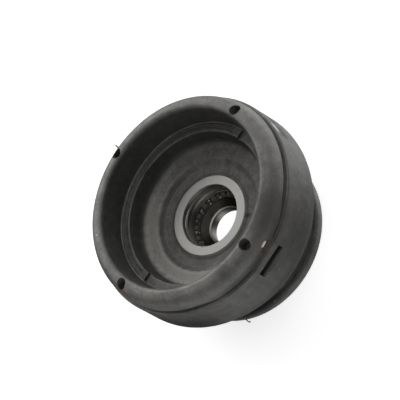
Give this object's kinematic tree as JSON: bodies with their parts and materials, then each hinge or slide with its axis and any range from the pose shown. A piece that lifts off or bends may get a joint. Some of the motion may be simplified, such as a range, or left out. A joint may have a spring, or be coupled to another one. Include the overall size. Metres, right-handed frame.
{
  "type": "strut mount",
  "caption": "Round rubber strut top mount: a deep open cup with steel moulded in, a necked back flange and a ball bearing whose inner ring takes the strut's rod.",
  "frame": {"origin": "centre of the flange's flat back, on the bearing's axis", "axes": "+Z along the bearing's axis, from the back flange towards the open cup; -Y through the rim hole beside the worn place"},
  "size_m": [0.121, 0.121, 0.0676],
  "materials": {
    "rubber": "matt moulded rubber, dusty",
    "insert_steel": "bare pressed steel",
    "ring_steel": "matt ground steel",
    "greased_steel": "steel under a film of brown grease",
    "cage_plastic": "dark moulded plastic, greased",
    "ball_steel": "polished bearing steel"
  },
  "bodies": {
    "mount_body": {"rubber_body": "rubber", "shell_ring": "insert_steel", "bearing_housing": "insert_steel", "outer_ring": "ring_steel"},
    "inner_ring": {"inner_ring": "greased_steel"},
    "ball_set": {"ball_cage": "cage_plastic", "ball_01": "ball_steel", "ball_02": "ball_steel", "ball_03": "ball_steel", "ball_04": "ball_steel", "ball_05": "ball_steel", "ball_06": "ball_steel", "ball_07": "ball_steel", "ball_08": "ball_steel", "ball_09": "ball_steel", "ball_10": "ball_steel", "ball_11": "ball_steel", "ball_12": "ball_steel", "ball_13": "ball_steel", "ball_14": "ball_steel", "ball_15": "ball_steel", "ball_16": "ball_steel"}
  },
  "joints": [
    {"name": "inner_ring_turn", "type": "hinge", "parent": "mount_body", "child": "inner_ring", "pos_m": [0, 0, 0.025], "axis": [0, 0, 1], "continuous": true},
    {"name": "ball_set_turn", "type": "hinge", "parent": "mount_body", "child": "ball_set", "pos_m": [0, 0, 0.025], "axis": [0, 0, 1], "continuous": true}
  ],
  "couplings": [
    {"joint": "ball_set_turn", "follows": "inner_ring_turn", "ratio": 0.4444}
  ]
}
